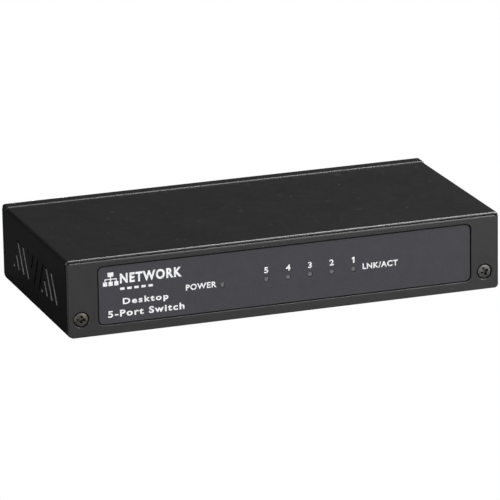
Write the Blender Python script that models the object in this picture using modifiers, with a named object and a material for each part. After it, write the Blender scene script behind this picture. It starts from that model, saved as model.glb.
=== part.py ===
"""Desktop network switch: a small screwed sheet-steel case around one circuit board.

The frame is metres, +Z up.  The origin is the bottom centre of the case, where the four rubber
feet stand.  +X runs along the front from the power light to port 1, and the front faces -Y.
All sizes below are millimetres and are turned into metres in one place, by the mesh helpers.
"""
import math

import bmesh
import bpy
from mathutils import Matrix, Vector

MM = 0.001

# Case
WIDTH = 150.0
DEPTH = 71.0
FOOT_HEIGHT = 1.5
BODY_HEIGHT = 26.4
LIP_RISE = 0.15            # the rear lip stands this much above the cover
LIP_DEPTH = 4.45
LIP_END_R = 0.9
FLANGE_DEPTH = 9.0         # the front panel's top edge folds back this far under the cover
RAIL_HALF = 24.0           # half the length of the floor's folded-up sides
RAIL_HEIGHT = 7.0
COVER_T = 0.8
CHASSIS_T = 1.0
SEAM = 0.2                 # gap between neighbouring sheets
TOP_BEND = 1.2
CURL_R = 2.2               # rounding along the two long bottom edges
EDGE_R = 0.45              # softened edge of the front and rear panels
CORNER_STEPS = 5

HALF_W = WIDTH / 2
HALF_D = DEPTH / 2
FLOOR_Z = FOOT_HEIGHT
COVER_TOP = FLOOR_Z + BODY_HEIGHT
PANEL_SIDE = HALF_W - COVER_T - SEAM
PANEL_TOP = COVER_TOP - COVER_T - SEAM
CURL_Z = FLOOR_Z + CURL_R
LIP_Y = HALF_D - LIP_DEPTH

# Side vents: three groups of slanted slots, cut straight through both side walls
SLOT_WIDTH = 1.25
SLOT_LOW = FLOOR_Z + 8.1
SLOT_HIGH = FLOOR_Z + 18.6
SLOT_PITCH = 5.45
REAR_SLANT = math.radians(32)
MIDDLE_SLANT = math.radians(-27)
LENGTH_STEPS = (1.0, 1.0, 0.54, 0.09)
REAR_GROUP_Y = 6.3         # foot of each group's first slot, or its top where the group hangs
MIDDLE_GROUP_Y = -10.5
FRONT_GROUP_Y = -25.4

# Front label and lights
LABEL_MID = (0.5, FLOOR_Z + 13.15)
POCKET_SIZE = (129.4, 19.9)
POCKET_R = 2.0
POCKET_DEPTH = 0.5
LABEL_GAP = 0.35
LABEL_T = 0.25
LIGHT_Z = FLOOR_Z + 12.15
LIGHT_PITCH = 7.58
PORT_1_LIGHT_X = 23.7
POWER_LIGHT_X = PORT_1_LIGHT_X - 6 * LIGHT_PITCH
LENS_R = 0.85

# Case screws, two in the front and two in the rear
CASE_SCREW_X = 70.0
CASE_SCREW_Z = FLOOR_Z + 6.0
CASE_HEAD_R = 2.05
CASE_SINK_R = 2.45
CASE_SINK_DEPTH = 0.6
CASE_SHANK_R = 1.0
CROSS_TURN = math.radians(28)

# Circuit board
BOARD_Z = FLOOR_Z + 4.8
BOARD_T = 1.6
BOARD_TOP = BOARD_Z + BOARD_T
BOARD_HALF_W = 66.0
BOARD_FRONT = -30.0
BOARD_REAR = 33.6
PART_Z = BOARD_TOP + 0.1
STANDOFFS = ((-61.0, -24.0), (61.0, -24.0), (-61.0, 13.5), (61.0, 13.5))

# Sockets
PORTS = 5
PORT_1_X = 52.0
PORT_PITCH = 17.5
JACK = Vector((15.8, 18.0, 13.2))
JACK_FACE = HALF_D - 0.1
INLET_X = -54.0
INLET = Vector((9.0, 14.4, 11.0))
CUTOUT_GAP = 0.2

collection = None
cutters = None


# ---------------------------------------------------------------- mesh helpers
def mesh_from(bm, name="shape"):
    """Close a bmesh into a mesh in metres with its faces pointing out."""
    bmesh.ops.recalc_face_normals(bm, faces=bm.faces)
    mesh = bpy.data.meshes.new(name)
    bm.to_mesh(mesh)
    bm.free()
    return mesh


def box(low, high):
    low, high = Vector(low), Vector(high)
    bm = bmesh.new()
    bmesh.ops.create_cube(bm, size=1.0)
    size = high - low
    centre = (high + low) / 2
    bmesh.ops.scale(bm, vec=size * MM, verts=bm.verts)
    bmesh.ops.translate(bm, vec=centre * MM, verts=bm.verts)
    return mesh_from(bm)


def standing_box(x, y, z, size):
    """A box standing on z, centred on x, y."""
    half_x, half_y = size[0] / 2, size[1] / 2
    return box((x - half_x, y - half_y, z), (x + half_x, y + half_y, z + size[2]))


def turn_to(axis):
    """The rotation that takes +Z to the named axis."""
    turns = {"X": Matrix.Rotation(math.pi / 2, 4, "Y"), "Y": Matrix.Rotation(-math.pi / 2, 4, "X"),
             "-Y": Matrix.Rotation(math.pi / 2, 4, "X"), "Z": Matrix.Identity(4)}
    return turns[axis]


def cylinder(radius, length, start, axis="Z", sides=24):
    bm = bmesh.new()
    bmesh.ops.create_cone(bm, cap_ends=True, segments=sides, radius1=radius * MM,
                          radius2=radius * MM, depth=length * MM)
    bmesh.ops.translate(bm, vec=(0, 0, length * MM / 2), verts=bm.verts)
    bmesh.ops.transform(bm, matrix=turn_to(axis), verts=bm.verts)
    bmesh.ops.translate(bm, vec=Vector(start) * MM, verts=bm.verts)
    return mesh_from(bm)


def evaluated(data, modifiers=()):
    """A plain mesh of an object that has the given modifiers, with the object removed again."""
    obj = bpy.data.objects.new("shape", data)
    cutters.objects.link(obj)
    for kind, values in modifiers:
        modifier = obj.modifiers.new(kind.title(), kind)
        for key, value in values.items():
            setattr(modifier, key, value)
    graph = bpy.context.evaluated_depsgraph_get()
    mesh = bpy.data.meshes.new_from_object(obj.evaluated_get(graph))
    bpy.data.objects.remove(obj)
    return mesh


def welded(mesh):
    bm = bmesh.new()
    bm.from_mesh(mesh)
    bmesh.ops.remove_doubles(bm, verts=bm.verts, dist=0.000005)
    return mesh_from(bm)


def outline(points, plane, low, high):
    """A flat outline in the XY, XZ or YZ plane, extruded from low to high across it."""
    curve = bpy.data.curves.new("outline", "CURVE")
    curve.dimensions = "2D"
    curve.fill_mode = "BOTH"
    curve.extrude = (high - low) / 2 * MM
    spline = curve.splines.new("POLY")
    spline.points.add(len(points) - 1)
    for point, (u, v) in zip(spline.points, points):
        point.co = (u * MM, v * MM, 0, 1)
    spline.use_cyclic_u = True
    mesh = welded(evaluated(curve))
    middle = (high + low) / 2 * MM
    order = {"XY": (0, 1, 2), "XZ": (0, 2, 1), "YZ": (2, 0, 1)}[plane]
    for vertex in mesh.vertices:
        place = (vertex.co.x, vertex.co.y, vertex.co.z + middle)
        vertex.co = [place[index] for index in order]
    return welded(mesh)


def turned(profile, sides=24, axis="Z", start=(0, 0, 0)):
    """A turned solid from (radius, height) points that run from the top to the bottom."""
    bm = bmesh.new()
    verts = [bm.verts.new((radius * MM, 0, height * MM)) for radius, height in profile]
    for first, second in zip(verts, verts[1:]):
        bm.edges.new((first, second))
    mesh = bpy.data.meshes.new("profile")
    bm.to_mesh(mesh)
    bm.free()
    screw = {"steps": sides, "render_steps": sides, "use_merge_vertices": True,
             "merge_threshold": 0.000005}
    mesh = welded(evaluated(mesh, [("SCREW", screw)]))
    mesh.transform(turn_to(axis))
    mesh.transform(Matrix.Translation(Vector(start) * MM))
    return mesh


def together(meshes):
    """Several separate bodies in one mesh, to be cut away or added in one step."""
    bm = bmesh.new()
    for mesh in meshes:
        bm.from_mesh(mesh)
    return mesh_from(bm)


def combined(base, other, operation):
    tool = bpy.data.objects.new("tool", other)
    cutters.objects.link(tool)
    tool.hide_render = True
    tool.display_type = "WIRE"
    values = {"operation": operation, "solver": "EXACT", "object": tool}
    mesh = evaluated(base, [("BOOLEAN", values)])
    bpy.data.objects.remove(tool)
    return mesh


def cut(base, *others):
    for other in others:
        base = combined(base, other, "DIFFERENCE")
    return base


def joined(base, *others):
    for other in others:
        base = combined(base, other, "UNION")
    return base


def softened(mesh, chosen, width, segments=2):
    """Round the edges whose two ends both pass the test; the test sees millimetres."""
    bm = bmesh.new()
    bm.from_mesh(mesh)
    sharp = [edge for edge in bm.edges
             if all(chosen(*(vert.co / MM)) for vert in edge.verts)
             and len(edge.link_faces) == 2 and edge.calc_face_angle() > math.radians(50)]
    bmesh.ops.bevel(bm, geom=sharp, offset=width * MM, offset_type="OFFSET", segments=segments,
                    profile=0.5, affect="EDGES", clamp_overlap=True)
    return mesh_from(bm)


def arc(centre, radius, start, stop, steps=CORNER_STEPS):
    """Points along an arc, with the angles in degrees."""
    angles = [math.radians(start + (stop - start) * step / steps) for step in range(steps + 1)]
    return [(centre[0] + radius * math.cos(angle), centre[1] + radius * math.sin(angle))
            for angle in angles]


def rounded_rectangle(middle, size, radius, steps=CORNER_STEPS):
    half = (size[0] / 2 - radius, size[1] / 2 - radius)
    points = []
    for start, side_u, side_v in ((0, 1, 1), (90, -1, 1), (180, -1, -1), (270, 1, -1)):
        centre = (middle[0] + side_u * half[0], middle[1] + side_v * half[1])
        points += arc(centre, radius, start, start + 90, steps)
    return points


def near(value, target):
    return abs(value - target) < 0.01


# ---------------------------------------------------------------- objects
def material(name, colour, roughness, metallic=0.0):
    found = bpy.data.materials.get(name)
    if found:
        return found
    made = bpy.data.materials.new(name)
    made.use_nodes = True
    shader = made.node_tree.nodes["Principled BSDF"]
    shader.inputs["Base Color"].default_value = (*colour, 1)
    shader.inputs["Roughness"].default_value = roughness
    shader.inputs["Metallic"].default_value = metallic
    return made


def piece(name, mesh, finish, place=(0, 0, 0), turn=0.0, smooth=False):
    """One sub-part: an object with its mesh, its material and its place in the case."""
    obj = bpy.data.objects.new(name, mesh)
    obj.location = Vector(place) * MM
    obj.rotation_euler.z = turn
    collection.objects.link(obj)
    if not mesh.materials:
        mesh.name = name
        mesh.materials.append(finish)
    if smooth:
        mesh.shade_smooth()
        mesh.set_sharp_from_angle(angle=math.radians(35))
    return obj


BLACK_PAINT = ("black_paint", (0.016, 0.016, 0.018), 0.42, 0.0)
DARK_LABEL = ("label_film", (0.035, 0.034, 0.042), 0.5, 0.0)
ZINC = ("zinc_steel", (0.42, 0.40, 0.36), 0.35, 1.0)
RUBBER = ("black_rubber", (0.02, 0.02, 0.02), 0.8, 0.0)
LENS = ("grey_lens", (0.22, 0.22, 0.23), 0.3, 0.0)
LAMINATE = ("green_laminate", (0.02, 0.12, 0.05), 0.45, 0.0)
BLACK_PLASTIC = ("black_plastic", (0.02, 0.02, 0.022), 0.5, 0.0)
GOLD = ("gold_plate", (0.83, 0.6, 0.25), 0.25, 1.0)
NICKEL = ("nickel_plate", (0.6, 0.58, 0.54), 0.25, 1.0)
RESIN = ("chip_resin", (0.03, 0.03, 0.032), 0.55, 0.0)
ALUMINIUM = ("aluminium", (0.55, 0.56, 0.58), 0.35, 1.0)
FILM = ("clear_film", (0.6, 0.6, 0.58), 0.4, 0.0)
FERRITE = ("ferrite", (0.07, 0.07, 0.075), 0.65, 0.0)
PAPER = ("plain_label", (0.7, 0.7, 0.7), 0.6, 0.0)


# ---------------------------------------------------------------- case
def cover_path(inset):
    """The cover's section from its left curl to its right one, inset from the outer face."""
    left = arc((-HALF_W + CURL_R, CURL_Z), CURL_R - inset, 270, 180)
    left += arc((-HALF_W + TOP_BEND, COVER_TOP - TOP_BEND), TOP_BEND - inset, 180, 90)
    return left + [(-x, z) for x, z in reversed(left)]


def slot(bottom_y, slant, low, high):
    """One slanted slot with round ends, as a cutter through both side walls."""
    radius = SLOT_WIDTH / 2
    low, high = low + radius, high - radius
    top_y = bottom_y + (high - low) * math.tan(slant)
    lean = math.degrees(slant)
    points = arc((bottom_y, low), radius, 180 - lean, 360 - lean)
    points += arc((top_y, high), radius, -lean, 180 - lean)
    return outline(points, "YZ", -HALF_W - 3, HALF_W + 3)


def vent_slots():
    """Two groups that lean back and stand on the low line, and one between that hangs down."""
    tall = SLOT_HIGH - SLOT_LOW
    slots = []
    for first_y in (REAR_GROUP_Y, FRONT_GROUP_Y):
        for index, share in enumerate(LENGTH_STEPS):
            length = max(share * tall, SLOT_WIDTH + 0.05)
            bottom_y = first_y + index * SLOT_PITCH
            slots.append(slot(bottom_y, REAR_SLANT, SLOT_LOW, SLOT_LOW + length))
    for index, share in enumerate(LENGTH_STEPS):
        length = max(share * tall, SLOT_WIDTH + 0.05)
        hang = (length - SLOT_WIDTH) * math.tan(MIDDLE_SLANT)
        top_y = MIDDLE_GROUP_Y + index * SLOT_PITCH
        slots.append(slot(top_y - hang, MIDDLE_SLANT, SLOT_HIGH - length, SLOT_HIGH))
    return together(slots)


def build_cover():
    """The top and both sides: one folded sheet, curled in under the long bottom edges."""
    front, rear = -HALF_D + 0.1, HALF_D - 0.1
    path = cover_path(0) + list(reversed(cover_path(COVER_T)))
    mesh = outline(path, "XZ", front, rear)
    mesh = softened(mesh, lambda x, y, z: near(y, front), 0.2)
    top_end = LIP_Y - SEAM
    lip_low = COVER_TOP + LIP_RISE - CHASSIS_T
    wall_top = lip_low - SEAM
    mesh = cut(mesh, box((-HALF_W - 1, top_end, wall_top), (HALF_W + 1, HALF_D + 1, COVER_TOP + 1)))
    for end in (-1, 1):
        wide = (HALF_W + 1, HALF_D + 1)
        stop = HALF_D - CHASSIS_T - SEAM
        mesh = cut(mesh, box((-wide[0], min(end * stop, end * wide[1]), FLOOR_Z - 1),
                             (wide[0], max(end * stop, end * wide[1]), CURL_Z)))
    tongue_top = lip_low - SEAM
    tongue_low = tongue_top - COVER_T
    tongue_half = PANEL_SIDE - 1.2
    tongue_end = HALF_D - CHASSIS_T - 0.5
    step_y = top_end - 1.2
    step = box((-tongue_half, step_y, tongue_low), (tongue_half, top_end, COVER_TOP - 0.3))
    tongue = box((-tongue_half, step_y + 0.2, tongue_low), (tongue_half, tongue_end, tongue_top))
    mesh = cut(joined(mesh, step, tongue), vent_slots())
    for side in (-1, 1):
        for end in (-1, 1):
            mesh = add_tab(mesh, side, end)
    return piece("top_cover", mesh, material(*BLACK_PAINT))


def add_tab(mesh, side, end):
    """A tab that the cover's wall turns in behind a panel, tapped for a case screw."""
    outer = end * (HALF_D - CHASSIS_T - 0.4)
    inner = outer - end * CHASSIS_T
    xs = sorted((side * (CASE_SCREW_X - 4.0), side * (HALF_W - COVER_T / 2)))
    ys = sorted((outer, inner))
    tab = box((xs[0], ys[0], CASE_SCREW_Z - 3.3), (xs[1], ys[1], CASE_SCREW_Z + 3.6))
    start = (side * CASE_SCREW_X, min(ys) - 1, CASE_SCREW_Z)
    hole = cylinder(CASE_SHANK_R + 0.2, 3.0, start, "Y", 16)
    return joined(mesh, cut(tab, hole))


def panel_outline(top):
    """A panel inside the cover's walls, with its two lower corners out to the case's outline."""
    step_z = CURL_Z - SEAM
    curl = arc((-HALF_W + CURL_R, CURL_Z), CURL_R, 270, 180)
    corner = [point for point in curl if point[1] < step_z]
    reach = math.sqrt(CURL_R ** 2 - SEAM ** 2)
    left = corner + [(-HALF_W + CURL_R - reach, step_z), (-PANEL_SIDE, step_z)]
    left += arc((-PANEL_SIDE + 0.8, top - 0.8), 0.8, 180, 90, 3)
    return left + [(-x, z) for x, z in reversed(left)]


def screw_holes(end):
    """Sunk holes for the two case screws of one panel."""
    face = end * HALF_D
    inward = "-Y" if end > 0 else "Y"
    holes = []
    for side in (-1, 1):
        x = side * CASE_SCREW_X
        sink = cylinder(CASE_SINK_R, CASE_SINK_DEPTH + 1, (x, face + end, CASE_SCREW_Z), inward, 32)
        through = cylinder(CASE_SHANK_R + 0.3, 4, (x, face + end, CASE_SCREW_Z), inward, 16)
        holes += [sink, through]
    return holes


def light_places():
    """Name and X of each front light, from port 1 to port 5 and then power."""
    places = [(f"port_{port + 1}", PORT_1_LIGHT_X - port * LIGHT_PITCH) for port in range(PORTS)]
    return places + [("power", POWER_LIGHT_X)]


def port_x(port):
    return PORT_1_X - (port - 1) * PORT_PITCH


def cutout(x, size):
    """A rear panel opening around a socket that stands on the board."""
    gap = CUTOUT_GAP
    return box((x - size.x / 2 - gap, HALF_D - CHASSIS_T - 1, PART_Z - gap),
               (x + size.x / 2 + gap, HALF_D + 1, PART_Z + size.z + gap))


def build_chassis():
    """The floor, front and rear panels of one folded sheet, with its flanges and rear lip."""
    front, rear = -HALF_D, HALF_D
    floor_half = HALF_W - CURL_R - 0.3
    lip_top = COVER_TOP + LIP_RISE
    face = outline(panel_outline(PANEL_TOP), "XZ", front, front + CHASSIS_T)
    face = softened(face, lambda x, y, z: near(y, front), EDGE_R, 3)
    back = outline(panel_outline(PANEL_TOP), "XZ", rear - CHASSIS_T, rear)
    back = softened(back, lambda x, y, z: near(y, rear) and z < PANEL_TOP - 1, EDGE_R, 3)
    lip_half = HALF_W - 0.1
    end = [(-lip_half, lip_top - CHASSIS_T)]
    end += arc((-lip_half + LIP_END_R, lip_top - LIP_END_R), LIP_END_R, 180, 90)
    lip = outline(end + [(-x, z) for x, z in reversed(end)], "XZ", LIP_Y, rear)
    lip = softened(lip, lambda x, y, z: z > lip_top - LIP_END_R - 0.01, 0.2, 2)
    neck_half = PANEL_SIDE - 0.8
    neck_low = (-neck_half, rear - CHASSIS_T, PANEL_TOP - 1)
    neck = box(neck_low, (neck_half, rear - 0.1, lip_top - 0.4))
    mesh = box((-floor_half, front + 0.5, FLOOR_Z), (floor_half, rear - 0.5, FLOOR_Z + CHASSIS_T))
    flange_half = PANEL_SIDE - 2
    flange_low = (-flange_half, front + 0.5, PANEL_TOP - CHASSIS_T)
    flange = box(flange_low, (flange_half, front + FLANGE_DEPTH, PANEL_TOP))
    mesh = joined(mesh, face, back, neck, lip, flange)
    for side in (-1, 1):
        xs = sorted((side * floor_half, side * (floor_half - CHASSIS_T)))
        rail_end = (xs[1], RAIL_HALF, FLOOR_Z + RAIL_HEIGHT)
        mesh = joined(mesh, box((xs[0], -RAIL_HALF, FLOOR_Z + 0.5), rail_end))
    rim = rounded_rectangle(LABEL_MID, POCKET_SIZE, POCKET_R)
    pocket = outline(rim, "XZ", front - 1, front + POCKET_DEPTH)
    lights = together([cylinder(LENS_R + 0.3, 3, (x, front - 1, LIGHT_Z), "Y", 16)
                       for _, x in light_places()])
    sockets = [cutout(port_x(port), JACK) for port in range(1, PORTS + 1)]
    sockets = together(sockets + [cutout(INLET_X, INLET)])
    mesh = cut(mesh, pocket, lights, sockets, *screw_holes(-1), *screw_holes(1))
    return piece("chassis", mesh, material(*BLACK_PAINT))


def build_label():
    """The printed film in the front panel's pocket, with a hole for each light."""
    size = [side - 2 * LABEL_GAP for side in POCKET_SIZE]
    back = -HALF_D + POCKET_DEPTH - 0.05
    points = rounded_rectangle(LABEL_MID, size, POCKET_R - LABEL_GAP)
    film = outline(points, "XZ", back - LABEL_T, back)
    holes = together([cylinder(LENS_R + 0.1, 3, (x, -HALF_D - 1, LIGHT_Z), "Y", 16)
                      for _, x in light_places()])
    piece("front_label", cut(film, holes), material(*DARK_LABEL))


def phillips_screw(head_r, head_h, shank_r, shank_l):
    """A screw with its head up, its seat at z = 0 and a cross recess in the domed head."""
    angles = [math.radians(angle) for angle in (0, 40, 70, 90)]
    dome = [(head_r * math.sin(angle), head_h * (0.35 + 0.65 * math.cos(angle)))
            for angle in angles]
    tip = [(head_r, 0), (shank_r, 0), (shank_r, -shank_l), (0, -shank_l)]
    screw = turned(dome + tip, 12)
    reach, width, deep = head_r * 0.62, head_r * 0.2, head_h + 0.35
    arms = [box((-reach, -width, head_h - deep), (reach, width, head_h + 0.1)),
            box((-width, -reach, head_h - deep), (width, reach, head_h + 0.1))]
    return cut(screw, *arms)


def build_case_screws():
    mesh = phillips_screw(CASE_HEAD_R, 0.5, CASE_SHANK_R, 6.0)
    seat = HALF_D - CASE_SINK_DEPTH + 0.05
    for end, end_name in ((-1, "front"), (1, "rear")):
        turned_mesh = mesh.copy()
        lay_down = turn_to("Y" if end > 0 else "-Y")
        turned_mesh.transform(lay_down @ Matrix.Rotation(CROSS_TURN, 4, "Z"))
        for side, side_name in ((-1, "left"), (1, "right")):
            place = (side * CASE_SCREW_X, end * seat, CASE_SCREW_Z)
            piece(f"{end_name}_screw_{side_name}", turned_mesh, material(*ZINC), place, smooth=True)


def build_feet():
    profile = [(0, 1.4), (4.6, 1.4), (4.2, 0.3), (3.9, 0), (0, 0)]
    mesh = turned(profile, 20)
    for end, end_name in ((-1, "front"), (1, "rear")):
        for side, side_name in ((-1, "left"), (1, "right")):
            place = (side * (HALF_W - 13), end * (HALF_D - 12), 0)
            piece(f"foot_{end_name}_{side_name}", mesh, material(*RUBBER), place, smooth=True)


def build_under_label():
    points = rounded_rectangle((0, 0), (52, 28), 2, 3)
    piece("under_label", outline(points, "XY", FLOOR_Z - 0.25, FLOOR_Z - 0.1), material(*PAPER))


# ---------------------------------------------------------------- board and its fixings
def build_board():
    low = (-BOARD_HALF_W, BOARD_FRONT, BOARD_Z)
    mesh = box(low, (BOARD_HALF_W, BOARD_REAR, BOARD_TOP))
    holes = [cylinder(1.6, 4, (x, y, BOARD_Z - 1), "Z", 20) for x, y in STANDOFFS]
    piece("main_board", cut(mesh, together(holes)), material(*LAMINATE))


def build_standoffs():
    """Hexagonal pillars between the floor and the board, and the screws that hold the board."""
    base = FLOOR_Z + CHASSIS_T + 0.1
    height = BOARD_Z - 0.1 - base
    thread = cylinder(1.5, height, (0, 0, 0.8), "Z", 16)
    pillar = cut(cylinder(2.9, height, (0, 0, 0), "Z", 6), thread)
    screw = phillips_screw(2.6, 1.7, 1.25, 3.6)
    for number, (x, y) in enumerate(STANDOFFS, 1):
        piece(f"standoff_{number}", pillar, material(*NICKEL), (x, y, base))
        piece(f"board_screw_{number}", screw, material(*ZINC), (x, y, PART_Z), smooth=True)


def build_insulator():
    """The film between the floor and the soldered side of the board, clear of the pillars."""
    points = rounded_rectangle((0, -3), (112, 54), 2, 3)
    low = FLOOR_Z + CHASSIS_T + 0.2
    piece("insulating_film", outline(points, "XY", low, low + 0.3), material(*FILM))


# ---------------------------------------------------------------- sockets
def jack_shell():
    """A socket housing with its mouth at y = 0: plug room, insert bay and latch way."""
    half = JACK.x / 2
    shell = box((-half, -JACK.y, 0), (half, 0, JACK.z))
    plug_room = box((-5.9, -13.6, 4.2), (5.9, 1, 11.0))
    insert_bay = box((-5.8, -13.5, 10.5), (5.8, -1.2, 12.3))
    latch_way = box((-3.2, -13.4, 2.6), (3.2, 1, 5.0))
    latch_tip = box((-2.1, -13.3, 1.4), (2.1, 1, 5.0))
    return cut(shell, plug_room, insert_bay, latch_way, latch_tip)


def contact_insert():
    """The carrier in the roof of a socket with eight sprung contacts that slant in and down."""
    carrier = box((-5.6, -13.2, 11.2), (5.6, -1.5, 12.1))
    fingers = []
    for index in range(8):
        x = (index - 3.5) * 1.02
        profile = [(-2.2, 11.4), (-1.85, 11.05), (-9.2, 8.7), (-9.35, 9.1), (-3.2, 11.3)]
        fingers.append(outline(profile, "YZ", x - 0.22, x + 0.22))
    return joined(carrier, together(fingers))


def build_jacks():
    shell, insert = jack_shell(), contact_insert()
    for port in range(1, PORTS + 1):
        place = (port_x(port), JACK_FACE, PART_Z)
        piece(f"jack_shell_{port}", shell, material(*BLACK_PLASTIC), place)
        piece(f"jack_contacts_{port}", insert, material(*GOLD), place)


def build_inlet():
    """The low-voltage power inlet: a moulded body with a round mouth, and its centre pin."""
    half = INLET.x / 2
    axis_z = 6.5
    body = box((-half, -INLET.y, 0), (half, 0, INLET.z))
    body = softened(body, lambda x, y, z: near(z, INLET.z), 0.8, 2)
    mouth = cylinder(3.15, 10.1, (0, 0.1, axis_z), "-Y", 32)
    bore = cylinder(1.25, 12.5, (0, 0.1, axis_z), "-Y", 16)
    pin_profile = [(0, 0), (0.7, 0), (1.0, -0.4), (1.0, -11.5), (0, -11.5)]
    pin = turned(pin_profile, 20, "Y", (0, -0.6, axis_z))
    place = (INLET_X, JACK_FACE, PART_Z)
    piece("power_inlet_body", cut(body, mouth, bore), material(*BLACK_PLASTIC), place)
    piece("power_inlet_pin", pin, material(*NICKEL), place, smooth=True)


# ---------------------------------------------------------------- lights
def build_lights():
    """Small lights on bent legs, whose tips fill the holes in the label."""
    tip = 10.2
    body = turned([(0, tip), (LENS_R - 0.15, tip), (LENS_R, tip - 0.15), (LENS_R, 5.0), (1.45, 4.8),
                   (1.45, 1.0), (1.7, 1.0), (1.7, 0), (0, 0)], 12, "-Y")
    drop = PART_Z - LIGHT_Z
    bend = [(-0.6, 0.25), (2.1, 0.25), (2.1, drop), (1.6, drop), (1.6, -0.25), (-0.6, -0.25)]
    legs = [outline(bend, "YZ", x - 0.25, x + 0.25) for x in (-1.0, 1.0)]
    mesh = joined(body, together(legs))
    base_y = -HALF_D + 0.22 + tip
    for name, x in light_places():
        piece(f"led_{name}", mesh, material(*LENS), (x, base_y, LIGHT_Z), smooth=True)
    low_x, high_x = POWER_LIGHT_X - 3, PORT_1_LIGHT_X + 3
    rail = box((low_x, -HALF_D + 1.6, PART_Z + 0.1), (high_x, base_y + 1.2, LIGHT_Z - 1.9))
    piece("led_rail", rail, material(*BLACK_PLASTIC))


# ---------------------------------------------------------------- parts on the board
def chip(size, chamfer=0.3):
    mesh = standing_box(0, 0, 0.25, size)
    top = 0.25 + size[2]
    return softened(mesh, lambda x, y, z: near(z, top), chamfer, 1)


def gull_legs(half_width, count, pitch, width, reach):
    """Two rows of bent legs that leave a chip's long sides and land on the board."""
    legs = []
    for side in (-1, 1):
        profile = [(side * (half_width - 0.4), 1.05), (side * (half_width + 0.4), 1.05),
                   (side * (half_width + reach), 0.05), (side * (half_width + reach - 0.4), 0.05),
                   (side * (half_width + 0.2), 0.75), (side * (half_width - 0.4), 0.75)]
        for index in range(count):
            x = (index - (count - 1) / 2) * pitch
            legs.append(outline(profile, "YZ", x - width / 2, x + width / 2))
    return together(legs)


def build_switch_chip():
    """The switch controller, with legs along its four sides, and its finned heat sink."""
    body = chip((20, 14, 2.7))
    sides = gull_legs(7.0, 10, 1.8, 0.7, 1.5)
    ends = gull_legs(10.0, 7, 1.8, 0.7, 1.5)
    ends.transform(Matrix.Rotation(math.pi / 2, 4, "Z"))
    place = (8, -8, PART_Z)
    piece("switch_chip", joined(body, sides, ends), material(*RESIN), place)
    sink_z = PART_Z + 0.25 + 2.7 + 0.15
    plate = standing_box(0, 0, 0, (14, 14, 1.5))
    fins = [standing_box((index - 3) * 2.1, 0, 1.2, (0.8, 14, 4.8)) for index in range(7)]
    piece("heat_sink", joined(plate, together(fins)), material(*ALUMINIUM), (8, -8, sink_z))


def build_magnetics():
    """Transformer modules between the chip and the sockets."""
    mesh = joined(chip((16, 9.4, 5.6), 0.5), gull_legs(4.7, 6, 2.4, 0.7, 1.5))
    for number, x in enumerate((47, 17, -12), 1):
        piece(f"magnetics_{number}", mesh, material(*RESIN), (x, 9.2, PART_Z))


def build_memory():
    mesh = joined(chip((4.9, 3.9, 1.4), 0.2), gull_legs(1.95, 4, 1.27, 0.42, 1.1))
    piece("memory_chip", mesh, material(*RESIN), (-16, -12, PART_Z))


def build_crystal():
    can = outline(rounded_rectangle((0, 0), (10.2, 3.7), 1.84, 4), "XY", 0.6, 3.6)
    can = softened(can, lambda x, y, z: near(z, 3.6), 0.4, 1)
    base = outline(rounded_rectangle((0, 0), (11.0, 4.6), 2.29, 4), "XY", 0.0, 0.7)
    piece("crystal", joined(base, can), material(*NICKEL), (-12, -20, PART_Z), smooth=True)


def capacitor(radius, height):
    profile = [(0, height), (radius - 0.3, height), (radius, height - 0.3), (radius, 1.9),
               (radius - 0.35, 1.6), (radius, 1.3), (radius, 0), (0, 0)]
    return turned(profile, 20)


def build_power_parts():
    """The supply corner of the board, next to the power inlet."""
    big, small = capacitor(4.0, 10.0), capacitor(3.15, 7.0)
    piece("capacitor_1", big, material(*BLACK_PLASTIC), (-41, 24, PART_Z), smooth=True)
    piece("capacitor_2", big, material(*BLACK_PLASTIC), (-41, 13, PART_Z), smooth=True)
    piece("capacitor_3", small, material(*BLACK_PLASTIC), (-27, 0, PART_Z), smooth=True)
    drum = [(0, 5.0), (4.1, 5.0), (4.1, 3.9), (3.0, 3.7), (3.0, 1.3), (4.1, 1.1), (4.1, 0), (0, 0)]
    piece("power_inductor", turned(drum, 20), material(*FERRITE), (-40, 0, PART_Z), smooth=True)
    body = chip((6.5, 6.1, 2.1))
    tab = box((-2.6, 2.5, 0.1), (2.6, 4.3, 0.6))
    legs = together([box((x - 0.4, -5.6, 0.1), (x + 0.4, -2.8, 0.6)) for x in (-2.28, 2.28)])
    piece("regulator", joined(body, tab, legs), material(*RESIN), (-52, 2, PART_Z))
    ends = together([box((x - 0.7, -0.75, 0.05), (x + 0.7, 0.75, 0.9)) for x in (-2.3, 2.3)])
    diode = joined(chip((4.4, 2.6, 2.0)), ends)
    piece("rectifier_diode", diode, material(*RESIN), (-54, 12, PART_Z))
    caps = together([box((x - 0.5, -1.3, 0.0), (x + 0.5, 1.3, 1.0)) for x in (-1.9, 1.9)])
    fuse = joined(standing_box(0, 0, 0.1, (3.2, 2.4, 0.8)), caps)
    piece("fuse", fuse, material(*NICKEL), (-54, -8, PART_Z))


def main():
    global collection, cutters
    for obj in list(bpy.data.objects):
        bpy.data.objects.remove(obj)
    collection = bpy.data.collections.new("network_switch")
    cutters = bpy.data.collections.new("cutters")
    bpy.context.scene.collection.children.link(collection)
    bpy.context.scene.collection.children.link(cutters)
    build_cover()
    build_chassis()
    build_label()
    build_case_screws()
    build_feet()
    build_under_label()
    build_board()
    build_standoffs()
    build_insulator()
    build_jacks()
    build_inlet()
    build_lights()
    build_switch_chip()
    build_magnetics()
    build_memory()
    build_crystal()
    build_power_parts()


main()
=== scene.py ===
"""The looks of a small desktop network switch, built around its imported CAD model.

The folded sheets, case screws, socket contacts and print are made here in finer detail than in
CAD. The other CAD nodes keep their shape and get a material. Lengths are in millimetres, apart
from those of the camera, the floor and the lights, which are in metres.
"""

import math

import bmesh
import bpy
from mathutils import Matrix, Vector


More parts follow.
